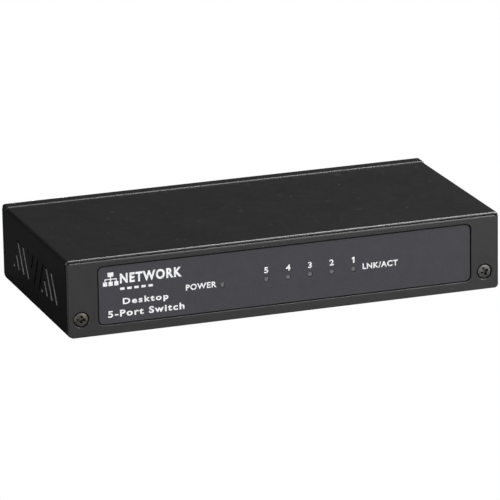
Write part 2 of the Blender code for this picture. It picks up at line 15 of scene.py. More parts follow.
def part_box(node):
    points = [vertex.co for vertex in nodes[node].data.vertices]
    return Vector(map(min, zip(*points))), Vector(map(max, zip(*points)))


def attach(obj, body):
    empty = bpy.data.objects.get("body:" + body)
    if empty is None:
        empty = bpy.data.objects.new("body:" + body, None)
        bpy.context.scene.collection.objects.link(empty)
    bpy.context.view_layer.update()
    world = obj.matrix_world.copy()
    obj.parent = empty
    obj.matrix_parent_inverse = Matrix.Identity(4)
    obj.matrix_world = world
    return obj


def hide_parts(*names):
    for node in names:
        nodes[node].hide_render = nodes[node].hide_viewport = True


MM = 0.001
BODY = "root"

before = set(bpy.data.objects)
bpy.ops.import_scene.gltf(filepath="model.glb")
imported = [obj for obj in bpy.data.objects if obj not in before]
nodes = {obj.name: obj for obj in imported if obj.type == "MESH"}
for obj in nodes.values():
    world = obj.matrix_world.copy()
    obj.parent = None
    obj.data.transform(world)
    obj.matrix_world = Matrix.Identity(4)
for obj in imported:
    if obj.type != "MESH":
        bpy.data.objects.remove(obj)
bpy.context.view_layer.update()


def box_mm(node):
    """A CAD node's lowest and highest corners."""
    low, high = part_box(node)
    return low / MM, high / MM


def middle_of(node):
    low, high = box_mm(node)
    return (low + high) / 2


# ---------------------------------------------------------------- camera, in metres
AIM = Vector((0.0012, 0.0029, 0.0120))
AZIMUTH = math.radians(19.18)
ELEVATION = math.radians(16.62)
ROLL = math.radians(0.98)
DISTANCE = 1.522
LENS = 328.1
SENSOR_WIDTH = 36.0
SHIFT = (0.0, 0.0014)
CLIP_START = 0.05
CLIP_END = 50.0


def add_camera():
    """A long lens in front of the case, to its left and a little above it."""
    data = bpy.data.cameras.new("camera")
    data.sensor_width = SENSOR_WIDTH
    data.lens = LENS
    data.shift_x, data.shift_y = SHIFT
    data.clip_start = CLIP_START
    data.clip_end = CLIP_END
    forward = Vector((math.sin(AZIMUTH) * math.cos(ELEVATION),
                      math.cos(AZIMUTH) * math.cos(ELEVATION), -math.sin(ELEVATION)))
    level = Vector((math.cos(AZIMUTH), -math.sin(AZIMUTH), 0))
    right = level * math.cos(ROLL) - level.cross(forward) * math.sin(ROLL)
    turn = Matrix((right, right.cross(forward), -forward)).transposed()
    camera = bpy.data.objects.new("camera", data)
    camera.matrix_world = Matrix.Translation(AIM - forward * DISTANCE) @ turn.to_4x4()
    bpy.context.scene.collection.objects.link(camera)
    bpy.context.scene.camera = camera


# ---------------------------------------------------------------- backdrop and lights, in metres
WORLD_GREY = 0.02
FLOOR_GREY = 0.03
FLOOR_HALF = 6.0


def grey(value):
    return (value, value, value, 1.0)


def show_white(tree, output, seen, felt):
    """Plain white where the camera looks at it, and a dim shader for the light that it sends on."""
    mix = tree.nodes.new("ShaderNodeMixShader")
    path = tree.nodes.new("ShaderNodeLightPath")
    seen.inputs["Color"].default_value = grey(1.0)
    tree.links.new(path.outputs["Is Camera Ray"], mix.inputs[0])
    tree.links.new(felt.outputs[0], mix.inputs[1])
    tree.links.new(seen.outputs[0], mix.inputs[2])
    tree.links.new(mix.outputs[0], output.inputs["Surface"])


def add_world():
    world = bpy.data.worlds.new("studio")
    world.use_nodes = True
    tree = world.node_tree
    tree.nodes.clear()
    felt = tree.nodes.new("ShaderNodeBackground")
    felt.inputs["Color"].default_value = grey(WORLD_GREY)
    show_white(tree, tree.nodes.new("ShaderNodeOutputWorld"),
               tree.nodes.new("ShaderNodeBackground"), felt)
    bpy.context.scene.world = world


def add_floor():
    bm = bmesh.new()
    bmesh.ops.create_grid(bm, x_segments=8, y_segments=8, size=FLOOR_HALF)
    mesh = bpy.data.meshes.new("floor")
    bm.to_mesh(mesh)
    bm.free()
    material = bpy.data.materials.new("floor")
    material.use_nodes = True
    tree = material.node_tree
    tree.nodes.clear()
    felt = tree.nodes.new("ShaderNodeBsdfDiffuse")
    felt.inputs["Color"].default_value = grey(FLOOR_GREY)
    show_white(tree, tree.nodes.new("ShaderNodeOutputMaterial"),
               tree.nodes.new("ShaderNodeEmission"), felt)
    mesh.materials.append(material)
    floor = bpy.data.objects.new("floor", mesh)
    bpy.context.scene.collection.objects.link(floor)


def add_softbox(name, place, aim, size, power):
    """A rectangular lamp that looks from a place at an aim."""
    data = bpy.data.lights.new(name, "AREA")
    data.shape = "RECTANGLE"
    data.size, data.size_y = size
    data.energy = power
    light = bpy.data.objects.new(name, data)
    light.location = place
    light.rotation_euler = (Vector(aim) - Vector(place)).to_track_quat("-Z", "Y").to_euler()
    bpy.context.scene.collection.objects.link(light)


def add_lights():
    """Soft lamps above, in front and at the left, and low strips for the rear and right sides."""
    centre = (0, 0, 0)
    half_height = (0, 0, 0.013)
    add_softbox("top_light", (0.8, -0.2, 0.75), centre, size=(0.35, 0.35), power=16)
    add_softbox("edge_light", (0.32, -0.3, 0.95), centre, size=(0.3, 0.3), power=4)
    add_softbox("front_light", (0.8, -1.5, 0.25), centre, size=(0.8, 0.6), power=17)
    add_softbox("left_light", (-1.0, -1.0, 0.12), centre, size=(0.6, 0.2), power=9.5)
    add_softbox("rear_light", (0, 0.45, 0.013), half_height, size=(0.13, 0.02), power=1.4)
    add_softbox("right_light", (0.45, 0, 0.013), half_height, size=(0.06, 0.02), power=1.0)


# ---------------------------------------------------------------- shader helpers
GRAIN_DEPTH = 0.03 * MM
FACTOR, FIRST_COLOUR, SECOND_COLOUR = 0, 6, 7
MIXED_COLOUR = 2


def principled(name, colour, roughness, metallic=0.0, specular=0.5, coat=0.0, coat_roughness=0.2):
    """A material with its even values set, ready for the nodes that vary the others."""
    made = bpy.data.materials.new(name)
    made.use_nodes = True
    shader = made.node_tree.nodes["Principled BSDF"]
    values = {"Base Color": (*colour, 1), "Roughness": roughness, "Metallic": metallic,
              "Specular IOR Level": specular, "Coat Weight": coat, "Coat Roughness": coat_roughness}
    for socket, value in values.items():
        shader.inputs[socket].default_value = value
    return made, made.node_tree, shader


def noise(tree, scale, detail=2.0, stretch=(1, 1, 1)):
    """Noise in the part's own frame; scale is in features per metre."""
    place = tree.nodes.new("ShaderNodeTexCoord")
    mapping = tree.nodes.new("ShaderNodeMapping")
    mapping.inputs["Scale"].default_value = stretch
    texture = tree.nodes.new("ShaderNodeTexNoise")
    texture.inputs["Scale"].default_value = scale
    texture.inputs["Detail"].default_value = detail
    tree.links.new(place.outputs["Object"], mapping.inputs["Vector"])
    tree.links.new(mapping.outputs["Vector"], texture.inputs["Vector"])
    return texture.outputs["Fac"]


def two_tone(tree, value, low, high):
    """A colour that goes from one tone to another along a value; each is (position, colour)."""
    made = tree.nodes.new("ShaderNodeValToRGB")
    for element, (position, colour) in zip(made.color_ramp.elements, (low, high)):
        element.position = position
        element.color = (*colour, 1)
    tree.links.new(value, made.inputs["Fac"])
    return made.outputs["Color"]


def spread(tree, value, low, high):
    """A value from 0..1 taken to low..high."""
    made = tree.nodes.new("ShaderNodeMapRange")
    made.inputs["To Min"].default_value = low
    made.inputs["To Max"].default_value = high
    tree.links.new(value, made.inputs["Value"])
    return made.outputs["Result"]


def mixed(tree, factor, first, second):
    """Two colours mixed by a factor; the factor may be a number, and a colour may be plain."""
    made = tree.nodes.new("ShaderNodeMix")
    made.data_type = "RGBA"
    for index, value in ((FACTOR, factor), (FIRST_COLOUR, first), (SECOND_COLOUR, second)):
        socket = made.inputs[index]
        if isinstance(value, bpy.types.NodeSocket):
            tree.links.new(value, socket)
        elif isinstance(value, float):
            socket.default_value = value
        else:
            socket.default_value = (*value, 1)
    return made.outputs[MIXED_COLOUR]


def bump(tree, shader, height, strength, depth=GRAIN_DEPTH):
    """Fine relief from a height, as deep as depth in metres."""
    made = tree.nodes.new("ShaderNodeBump")
    made.inputs["Strength"].default_value = strength
    made.inputs["Distance"].default_value = depth
    tree.links.new(height, made.inputs["Height"])
    tree.links.new(made.outputs["Normal"], shader.inputs["Normal"])


# ---------------------------------------------------------------- materials
def mottled(name, dark, light, patches, roughness, grain, strength, metallic=0.0, specular=0.5,
            stretch=(1, 1, 1)):
    """Two near tones in soft patches, with uneven gloss and a fine grain of bumps.

    patches and grain are in features per metre, and strength is how much the grain shows.
    """
    made, tree, shader = principled(name, dark, roughness[0], metallic, specular)
    tone = two_tone(tree, noise(tree, patches, 3.0, stretch), (0.3, dark), (0.7, light))
    gloss = spread(tree, noise(tree, patches * 3, 2.0, stretch), *roughness)
    tree.links.new(tone, shader.inputs["Base Color"])
    tree.links.new(gloss, shader.inputs["Roughness"])
    bump(tree, shader, noise(tree, grain, 2.0, stretch), strength)
    return made


def powder_coat(name, coat, coat_roughness, specular, grain):
    """Black powder coat: a fine grain, slightly uneven gloss and a few pale specks of dust."""
    made, tree, shader = principled(name, (0.016, 0.016, 0.0165), 0.42, specular=specular, coat=coat,
                                    coat_roughness=coat_roughness)
    patches = two_tone(tree, noise(tree, 90, 4.0), (0.3, (0.0145, 0.0145, 0.0148)),
                       (0.7, (0.019, 0.019, 0.0192)))
    grains = two_tone(tree, noise(tree, 1600), (0.35, (0.011, 0.011, 0.0112)),
                      (0.65, (0.023, 0.023, 0.0232)))
    specks = two_tone(tree, noise(tree, 420, 1.0), (0.735, (0, 0, 0)), (0.76, (1, 1, 1)))
    tone = mixed(tree, specks, mixed(tree, 0.35, patches, grains), (0.036, 0.036, 0.035))
    tree.links.new(tone, shader.inputs["Base Color"])
    tree.links.new(spread(tree, noise(tree, 300, 3.0), 0.36, 0.5), shader.inputs["Roughness"])
    bump(tree, shader, noise(tree, 2600), grain)
    return made


def label_plastic():
    """Dark grey printed film with a fine matt tooth."""
    made, tree, shader = principled("label_plastic", (0.04, 0.0395, 0.046), 0.5, specular=0.35)
    patches = two_tone(tree, noise(tree, 260, 4.0), (0.3, (0.037, 0.036, 0.0428)),
                       (0.7, (0.0445, 0.0435, 0.0512)))
    grains = two_tone(tree, noise(tree, 1900), (0.35, (0.031, 0.03, 0.0358)),
                      (0.65, (0.0495, 0.0485, 0.0572)))
    tree.links.new(mixed(tree, 0.4, patches, grains), shader.inputs["Base Color"])
    tree.links.new(spread(tree, noise(tree, 900), 0.46, 0.6), shader.inputs["Roughness"])
    bump(tree, shader, noise(tree, 4200), 0.3, depth=0.02 * MM)
    return made


def circuit_laminate():
    """Green solder mask over copper: a darker ground, and lighter tracks between its blocks."""
    made, tree, shader = principled("solder_mask", (0.01, 0.07, 0.03), 0.3, coat=0.4)
    place = tree.nodes.new("ShaderNodeTexCoord")
    tracks = tree.nodes.new("ShaderNodeTexBrick")
    tracks.inputs["Scale"].default_value = 60
    tracks.inputs["Mortar Size"].default_value = 0.03
    tracks.inputs["Color1"].default_value = (0.008, 0.075, 0.03, 1)
    tracks.inputs["Color2"].default_value = (0.011, 0.085, 0.034, 1)
    tracks.inputs["Mortar"].default_value = (0.025, 0.17, 0.07, 1)
    tree.links.new(place.outputs["Object"], tracks.inputs["Vector"])
    tree.links.new(tracks.outputs["Color"], shader.inputs["Base Color"])
    tree.links.new(spread(tree, noise(tree, 500), 0.25, 0.4), shader.inputs["Roughness"])
    bump(tree, shader, tracks.outputs["Fac"], 0.4, depth=0.04 * MM)
    return made


def white_print():
    """White screen-print ink, a little thin in places."""
    made, tree, shader = principled("white_print", (0.8, 0.8, 0.81), 0.55)
    cover = noise(tree, 2200, 3.0)
    tone = two_tone(tree, cover, (0.3, (0.62, 0.62, 0.64)), (0.55, (0.86, 0.86, 0.87)))
    tree.links.new(tone, shader.inputs["Base Color"])
    tree.links.new(spread(tree, cover, 0.5, 0.65), shader.inputs["Roughness"])
    return made


paint = powder_coat("powder_coat", coat=0.25, coat_roughness=0.28, specular=0.5, grain=0.25)
edge_paint = powder_coat("powder_coat_edge", coat=1.0, coat_roughness=0.2, specular=0.8, grain=0.1)
film = label_plastic()
laminate = circuit_laminate()
white_ink = white_print()
# Pale grey painted light for the vent slot walls that face front and up, where the lamps fall on them.
slot_wall_light = mottled("painted_slot_wall_light", (0.2, 0.2, 0.2), (0.35, 0.35, 0.345), patches=900,
                  roughness=(0.35, 0.55), grain=3000, strength=0.3)
steel = mottled("screw_steel", (0.075, 0.071, 0.06), (0.17, 0.162, 0.137), patches=900,
                roughness=(0.38, 0.58), grain=5000, strength=0.3, metallic=1.0)
dark_steel = mottled("dark_screw_steel", (0.09, 0.088, 0.084), (0.175, 0.171, 0.163), patches=900,
                     roughness=(0.38, 0.58), grain=5000, strength=0.3, metallic=1.0)
# Near-black painted shade for the slot walls, the label's pocket, the screw sinks and the screws' cross
# recesses.
painted_recess_shade = mottled("recess_shadow", (0.002, 0.002, 0.0022), (0.007, 0.0065, 0.007), patches=900,
                       roughness=(0.6, 0.8), grain=5000, strength=0.3, specular=0.15)
rubber = mottled("black_rubber", (0.016, 0.016, 0.016), (0.03, 0.03, 0.029), patches=500,
                 roughness=(0.7, 0.9), grain=3500, strength=0.5)
lens = mottled("grey_lens", (0.085, 0.085, 0.088), (0.13, 0.13, 0.135), patches=1500,
               roughness=(0.4, 0.55), grain=4000, strength=0.2)
moulding = mottled("black_moulding", (0.006, 0.006, 0.0065), (0.011, 0.011, 0.0115), patches=400,
                   roughness=(0.28, 0.42), grain=3500, strength=0.25)
gold = mottled("gold_plate", (0.78, 0.55, 0.2), (0.9, 0.68, 0.32), patches=900,
               roughness=(0.18, 0.32), grain=6000, strength=0.15, metallic=1.0)
nickel = mottled("nickel_plate", (0.5, 0.49, 0.46), (0.68, 0.66, 0.62), patches=900,
                 roughness=(0.2, 0.35), grain=5000, strength=0.2, metallic=1.0)
resin = mottled("chip_resin", (0.02, 0.02, 0.021), (0.034, 0.034, 0.036), patches=700,
                roughness=(0.5, 0.68), grain=5000, strength=0.5)
aluminium = mottled("brushed_aluminium", (0.42, 0.43, 0.45), (0.6, 0.61, 0.63), patches=600,
                    roughness=(0.3, 0.45), grain=4000, strength=0.4, metallic=1.0,
                    stretch=(1, 0.06, 1))
clear_film = mottled("insulating_film", (0.5, 0.5, 0.47), (0.6, 0.6, 0.57), patches=200,
                     roughness=(0.25, 0.4), grain=2500, strength=0.2)
ferrite = mottled("ferrite", (0.045, 0.045, 0.05), (0.085, 0.085, 0.09), patches=800,
                  roughness=(0.55, 0.75), grain=3500, strength=0.6)
paper = mottled("blank_label", (0.62, 0.62, 0.6), (0.72, 0.72, 0.7), patches=300,
                roughness=(0.55, 0.7), grain=4000, strength=0.3)
sleeve = mottled("capacitor_sleeve", (0.012, 0.013, 0.03), (0.02, 0.022, 0.045), patches=400,
                 roughness=(0.25, 0.4), grain=3500, strength=0.2)

# ---------------------------------------------------------------- mesh helpers
# Where a ring's u, v and level go on X, Y and Z, for each plane that it may lie in.
AXES = {"XY": (0, 1, 2), "XZ": (0, 2, 1), "YZ": (2, 0, 1)}
WELD = 0.002 * MM
BORE_SIDES = 24


def finished(bm):
    """The mesh of a bmesh, with its faces turned outward."""
    bmesh.ops.recalc_face_normals(bm, faces=bm.faces)
    mesh = bpy.data.meshes.new("shape")
    bm.to_mesh(mesh)
    bm.free()
    return mesh


def block(low, high, rounding=0.0):
    """A box between two corners, with its edges rounded where asked."""
    bm = bmesh.new()
    bmesh.ops.create_cube(bm, size=1.0)
    low, high = Vector(low), Vector(high)
    bmesh.ops.scale(bm, vec=(high - low) * MM, verts=bm.verts)
    bmesh.ops.translate(bm, vec=(high + low) / 2 * MM, verts=bm.verts)
    if rounding:
        bmesh.ops.bevel(bm, geom=list(bm.edges), offset=rounding * MM, offset_type="OFFSET",
                        segments=2, profile=0.5, affect="EDGES", clamp_overlap=True)
    return finished(bm)


def loft(rings, plane):
    """A closed solid through rings of (points, level); every ring has as many points."""
    bm = bmesh.new()
    rows = []
    for points, level in rings:
        row = []
        for u, v in points:
            place = (u * MM, v * MM, level * MM)
            row.append(bm.verts.new([place[index] for index in AXES[plane]]))
        rows.append(row)
    count = len(rows[0])
    for first, second in zip(rows, rows[1:]):
        for index in range(count):
            after = (index + 1) % count
            bm.faces.new((first[index], first[after], second[after], second[index]))
    bm.faces.new(rows[0])
    bm.faces.new(list(reversed(rows[-1])))
    bmesh.ops.remove_doubles(bm, verts=bm.verts, dist=WELD)
    return finished(bm)


def prism(points, plane, low, high):
    return loft([(points, low), (points, high)], plane)


def circle(centre, radius, sides):
    """The corners of a circle's outline."""
    angles = [2 * math.pi * step / sides for step in range(sides)]
    return [(centre[0] + radius * math.cos(angle), centre[1] + radius * math.sin(angle))
            for angle in angles]


def bore(centre, radius, low_y, high_y):
    """A round cutter along Y, with its centre given as x and z."""
    return prism(circle(centre, radius, BORE_SIDES), "XZ", low_y, high_y)


def lathe(profile, sides):
    """A solid turned about Z from (radius, height) points; the first and last lie on the axis."""
    bm = bmesh.new()
    rows = []
    for radius, height in profile:
        points = circle((0, 0), radius, sides) if radius else [(0, 0)]
        rows.append([bm.verts.new((x * MM, y * MM, height * MM)) for x, y in points])
    for first, second in zip(rows, rows[1:]):
        for index in range(sides):
            after = (index + 1) % sides
            ring = [first[index % len(first)], first[after % len(first)],
                    second[after % len(second)], second[index % len(second)]]
            bm.faces.new([vert for spot, vert in enumerate(ring) if vert not in ring[:spot]])
    return finished(bm)


def merged(meshes):
    """Meshes that don't touch, as one mesh."""
    bm = bmesh.new()
    for mesh in meshes:
        bm.from_mesh(mesh)
    return finished(bm)


def combined(base, other, operation):
    """One mesh cut by another or joined to it."""
    holder = bpy.data.objects.new("base", base)
    tool = bpy.data.objects.new("tool", other)
    for obj in (holder, tool):
        bpy.context.scene.collection.objects.link(obj)
    modifier = holder.modifiers.new("boolean", "BOOLEAN")
    modifier.operation = operation
    modifier.solver = "EXACT"
    modifier.object = tool
    graph = bpy.context.evaluated_depsgraph_get()
    mesh = bpy.data.meshes.new_from_object(holder.evaluated_get(graph))
    bpy.data.objects.remove(holder)
    bpy.data.objects.remove(tool)
    return mesh


def cut(base, *others):
    for other in others:
        base = combined(base, other, "DIFFERENCE")
    return base


def joined(base, *others):
    for other in others:
        base = combined(base, other, "UNION")
    return base


def arc(centre, radius, start, stop, steps=8):
    """Points along an arc, from one angle to another in degrees."""
    angles = [math.radians(start + (stop - start) * step / steps) for step in range(steps + 1)]
    return [(centre[0] + radius * math.cos(angle), centre[1] + radius * math.sin(angle))
            for angle in angles]


def round_box(middle, size, radius):
    """The outline of a box with rounded corners."""
    half = (size[0] / 2 - radius, size[1] / 2 - radius)
    points = []
    for start, side_u, side_v in ((0, 1, 1), (90, -1, 1), (180, -1, -1), (270, 1, -1)):
        centre = (middle[0] + side_u * half[0], middle[1] + side_v * half[1])
        points += arc(centre, radius, start, start + 90)
    return points


def piece(name, mesh, materials, replaces=(), smooth=35):
    """A visible piece with its materials, shaded smooth below an angle in degrees, or flat at 0."""
    obj = bpy.data.objects.new(name, mesh)
    bpy.context.scene.collection.objects.link(obj)
    mesh.materials.clear()
    for material in materials:
        mesh.materials.append(material)
    if smooth:
        mesh.shade_smooth()
        mesh.set_sharp_from_angle(angle=math.radians(smooth))
        normals = obj.modifiers.new("normals", "WEIGHTED_NORMAL")
        normals.keep_sharp = True
    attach(obj, BODY)
    if replaces:
        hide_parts(*replaces)


# How near a place is to a face or an outline when it counts as on it.
SKIN = 0.02
HAIR = 0.01
NEAR = 0.1


def paint_faces(mesh, finish_of):
    """Gives each face the material that finish_of picks for it, out of the mesh's own."""
    materials = list(mesh.materials)
    for face in mesh.polygons:
        face.material_index = materials.index(finish_of(face))


# ---------------------------------------------------------------- case sizes
HALF_W = box_mm("top_cover")[1].x
FLOOR_Z = box_mm("top_cover")[0].z
HALF_D = box_mm("chassis")[1].y
LIP_TOP = box_mm("chassis")[1].z
SCREW_X = middle_of("front_screw_right").x
SCREW_Z = middle_of("front_screw_right").z
COVER_T = 0.8
CHASSIS_T = 1.0
SEAM = 0.02

# The radii of the cover's bends at the top and at its lower edges.
TOP_BEND = 1.3
LEFT_CURL_R = 2.5
RIGHT_CURL_R = 1.3
BEND_STEPS = 12
CURL_Z = FLOOR_Z + LEFT_CURL_R

# The rear lip stands a little proud of the cover's top, and starts at LIP_Y.
LIP_STEP = 0.36
LIP_DEPTH = 4.45
LIP_Y = HALF_D - LIP_DEPTH
COVER_TOP = LIP_TOP - LIP_STEP
COVER_SET_BACK = 0.1
COVER_FRONT = -HALF_D + COVER_SET_BACK

# The air above the panels, and between the lip and the tongue under it.
CLEARANCE = 0.2
PANEL_SIDE = HALF_W - COVER_T - SEAM
PANEL_TOP = COVER_TOP - COVER_T - CLEARANCE

# The radii of the cover's rolled front edge, on its outer and inner face.
NOSE_OUTER = 0.45
NOSE_INNER = 0.06
ROLL_STEPS = 5

# How far a cutter runs past the sheet that it cuts.
PAST = 1.0


def both_sides(left, right):
    """An outline from its left half and the mirror image of its right half."""
    return left + [(-x, z) for x, z in reversed(right)]


def roll(depth, radius):
    """How far an edge of that radius is drawn in, at a depth behind the face."""
    if depth >= radius:
        return 0.0
    return radius - math.sqrt(radius ** 2 - (radius - depth) ** 2)


def roll_depths(*radii):
    """Depths behind a face that follow the curves of its rolled edges."""
    return sorted({round(radius * (1 - math.cos(math.radians(90 * step / ROLL_STEPS))), 4)
                   for radius in radii for step in range(ROLL_STEPS + 1)})


# ---------------------------------------------------------------- cover
SLOT_WIDTH = 1.25
SLOT_LOW = FLOOR_Z + 8.1
SLOT_HIGH = FLOOR_Z + 18.6
SLOT_PITCH = 5.45
LEAN_BACK = math.radians(32)
LEAN_FORWARD = math.radians(-27)
BACK_GROUPS_Y = (6.3, -25.4)
FORWARD_GROUP_Y = -10.5

# The lengths of a group's four slots, as shares of the tallest; the last one is almost round.
SLOT_SHARES = (1.0, 1.0, 0.54, 0.09)
SHORTEST_SLOT = SLOT_WIDTH + 0.05
DOTS_Y = [first_y + 3 * SLOT_PITCH for first_y in BACK_GROUPS_Y]

# A slot wall gets painted light when it is long and its normal points forward and up by more than these
# shares.
LONG_WALL_M2 = 1e-6
LIT_WALL_FORWARD = 0.8
LIT_WALL_UP = 0.42
DOT_FORWARD = 0.5
NOSE_SHINE = 0.7
NOSE_UP = 0.25

TONGUE_END_GAP = 1.2
TONGUE_STEP = 1.2
TONGUE_OVERLAP = 0.2
TONGUE_REAR_GAP = 0.5
TAB_GAP = 0.4
TAB_INWARD = 4.0
TAB_BELOW = 3.3
TAB_ABOVE = 3.6
TAB_HOLE_R = 1.2


def cover_path(inset):
    """The cover's section, drawn in by inset, from its lower left edge over the top to the right."""
    sides = []
    for radius in (LEFT_CURL_R, RIGHT_CURL_R):
        side = arc((-HALF_W + radius, FLOOR_Z + radius), radius - inset, 270, 180, BEND_STEPS)
        side += arc((-HALF_W + TOP_BEND, COVER_TOP - TOP_BEND), TOP_BEND - inset, 180, 90, BEND_STEPS)
        sides.append(side)
    return both_sides(*sides)


def cover_ring(depth):
    """The sheet's section at a depth behind its front edge, which is rounded most on the outside."""
    outer = cover_path(roll(depth, NOSE_OUTER))
    return outer + list(reversed(cover_path(COVER_T - roll(depth, NOSE_INNER))))


def slot_cutter(foot_y, lean, low_z, high_z):
    """A cutter through both sides for one slot with round ends, which leans from its foot."""
    radius = SLOT_WIDTH / 2
    low_z, high_z = low_z + radius, high_z - radius
    head_y = foot_y + (high_z - low_z) * math.tan(lean)
    turn = math.degrees(lean)
    points = arc((foot_y, low_z), radius, 180 - turn, 360 - turn)
    points += arc((head_y, high_z), radius, -turn, 180 - turn)
    return prism(points, "YZ", -HALF_W - 3 * PAST, HALF_W + 3 * PAST)


def vent_slots():
    """Two groups that stand on one line and lean back, and one that hangs and leans forward."""
    lengths = [max(share * (SLOT_HIGH - SLOT_LOW), SHORTEST_SLOT) for share in SLOT_SHARES]
    slots = []
    for first_y in BACK_GROUPS_Y:
        for index, length in enumerate(lengths):
            foot_y = first_y + index * SLOT_PITCH
            slots.append(slot_cutter(foot_y, LEAN_BACK, SLOT_LOW, SLOT_LOW + length))
    for index, length in enumerate(lengths):
        foot_y = FORWARD_GROUP_Y + index * SLOT_PITCH - (length - SLOT_WIDTH) * math.tan(LEAN_FORWARD)
        slots.append(slot_cutter(foot_y, LEAN_FORWARD, SLOT_HIGH - length, SLOT_HIGH))
    return merged(slots)


def cover_notches():
    """Cutters for the room under the rear lip and for the panels' lower corners."""
    lip_room = block((-HALF_W - PAST, LIP_Y - SEAM, LIP_TOP - CHASSIS_T - CLEARANCE),
                     (HALF_W + PAST, HALF_D + PAST, COVER_TOP + PAST))
    notches = [lip_room]
    for end in (-1, 1):
        near, far = sorted((end * (HALF_D - CHASSIS_T - SEAM), end * (HALF_D + PAST)))
        notches.append(block((-HALF_W - PAST, near, FLOOR_Z - PAST), (HALF_W + PAST, far, CURL_Z)))
    return notches


def cover_tongue():
    """The top's rear edge, which steps down and runs on under the lip."""
    half = PANEL_SIDE - TONGUE_END_GAP
    top_end = LIP_Y - SEAM
    high = LIP_TOP - CHASSIS_T - CLEARANCE
    rear = HALF_D - CHASSIS_T - TONGUE_REAR_GAP
    step_front = top_end - TONGUE_STEP
    step = block((-half, step_front, high - COVER_T), (half, top_end, COVER_TOP - 0.3))
    tongue = block((-half, step_front + TONGUE_OVERLAP, high - COVER_T), (half, rear, high))
    return step, tongue


def screw_tab(side, end):
    """A tapped tab behind a panel, on the cover's side wall."""
    outer = end * (HALF_D - CHASSIS_T - TAB_GAP)
    near, far = sorted((outer, outer - end * CHASSIS_T))
    left, right = sorted((side * (SCREW_X - TAB_INWARD), side * (HALF_W - COVER_T / 2)))
    tab = block((left, near, SCREW_Z - TAB_BELOW), (right, far, SCREW_Z + TAB_ABOVE))
    return cut(tab, bore((side * SCREW_X, SCREW_Z), TAB_HOLE_R, near - PAST, far + PAST))


def cover_finish(face):
    """Painted light, pale grey, on the slot walls that face front and up; painted shade, near black, on the
    other slot walls; gloss on the nose.
    """
    place, normal = face.center / MM, face.normal
    in_side = HALF_W - COVER_T + SKIN < abs(place.x) < HALF_W - SKIN
    if in_side and SLOT_LOW - NEAR < place.z < SLOT_HIGH + NEAR:
        near_dot = min(abs(place.y - dot) for dot in DOTS_Y) < SLOT_WIDTH
        lit_dot = near_dot and normal.y < -DOT_FORWARD and place.z < SLOT_LOW + SLOT_WIDTH
        lit_wall = normal.y < -LIT_WALL_FORWARD and normal.z > LIT_WALL_UP and face.area > LONG_WALL_M2
        # Slot walls facing front and up get pale grey painted light, the other slot walls near-black
        # painted shade.
        return slot_wall_light if lit_wall or lit_dot else painted_recess_shade
    on_nose = place.y < COVER_FRONT + NOSE_OUTER and place.z > COVER_TOP - NOSE_SHINE
    return edge_paint if on_nose and normal.z > NOSE_UP else paint


def build_cover():
    """The top and both sides: one folded sheet with vents, a tongue at the rear and four tabs."""
    rings = [(cover_ring(depth), COVER_FRONT + depth) for depth in roll_depths(NOSE_OUTER, NOSE_INNER)]
    rings.append((cover_ring(NOSE_OUTER), -COVER_FRONT))
    mesh = cut(loft(rings, "XZ"), *cover_notches())
    mesh = joined(mesh, *cover_tongue())
    mesh = cut(mesh, vent_slots())
    mesh = joined(mesh, *[screw_tab(side, end) for side in (-1, 1) for end in (-1, 1)])
    piece("cover_sheet", mesh, [paint, slot_wall_light, edge_paint, painted_recess_shade], ["top_cover"])
    paint_faces(mesh, cover_finish)


# ---------------------------------------------------------------- chassis
PANEL_BEND = 0.5
PANEL_EDGE = 0.06
PANEL_CORNER = 0.8
PANEL_NOTCH_GAP = 0.12

# The lip's front chamfer as (how far it is drawn in, how far behind the edge).
LIP_CHAMFER = ((0.25, 0.0), (0.05, 0.17), (0.0, 0.28))
LIP_END_GAP = 0.1
LIP_END_R = 0.95
LIP_ROLL = 0.25

FLOOR_SIDE_GAP = 0.3
FLOOR_HALF_W = HALF_W - LEFT_CURL_R - FLOOR_SIDE_GAP
FLOOR_WALL_HALF = 24
FLOOR_WALL_HEIGHT = 7
FLANGE_END_GAP = 2
FLANGE_DEPTH = 9
FLANGE_OVERLAP = 0.05
NECK_END_GAP = 0.8
NECK_REAR_GAP = 0.1
NECK_TOP_GAP = 0.4
SOCKET_GAP = 0.2

# The sinks' section as (how much wider, how far out of the panel's face).
SINK_R = 2.65
SINK_DEPTH = 0.6
RIM_DEPTH = 0.14
SINK_RIM = ((RIM_DEPTH, PAST), (RIM_DEPTH, 0.0), (0.05, -0.05), (0.0, -RIM_DEPTH), (0.0, -SINK_DEPTH))
SINK_SIDES = 48
SCREW_HOLE_R = 1.3

LABEL_LOW, LABEL_HIGH = box_mm("front_label")
LABEL_GAP = 0.42
LABEL_CORNER = 2.0
POCKET_MIDDLE = ((LABEL_LOW.x + LABEL_HIGH.x) / 2, (LABEL_LOW.z + LABEL_HIGH.z) / 2)
POCKET_SIZE = (LABEL_HIGH.x - LABEL_LOW.x + 2 * LABEL_GAP, LABEL_HIGH.z - LABEL_LOW.z + 2 * LABEL_GAP)
POCKET_DEPTH = 0.5
POCKET_WALL_START = 0.2
POCKET_RIM = 0.1
RIM_UP = 0.2

LIGHT_Z = FLOOR_Z + 12.15
LIGHT_HOLE_R = 1.15
LIGHTS = ["led_port_1", "led_port_2", "led_port_3", "led_port_4", "led_port_5", "led_power"]
PORTS = range(1, 6)


def panel_ring(side_in, corner_in, top_in):
    """A panel's outline between the cover's walls, with its lower corners out to the case's own."""
    step_z = CURL_Z - PANEL_NOTCH_GAP
    sides = []
    for radius in (LEFT_CURL_R, RIGHT_CURL_R):
        curl = arc((-HALF_W + radius, FLOOR_Z + radius), radius, 270, 180, steps=10)
        side = [(x + corner_in * min(1, (-HALF_W + radius - x) / radius), z + side_in)
                for x, z in curl if z < step_z]
        wall = -PANEL_SIDE + side_in
        side += [(-HALF_W + corner_in, step_z), (wall, step_z)]
        corner = (wall + PANEL_CORNER, PANEL_TOP - top_in - PANEL_CORNER)
        side += arc(corner, PANEL_CORNER, 180, 90, steps=6)
        sides.append(side)
    return both_sides(*sides)


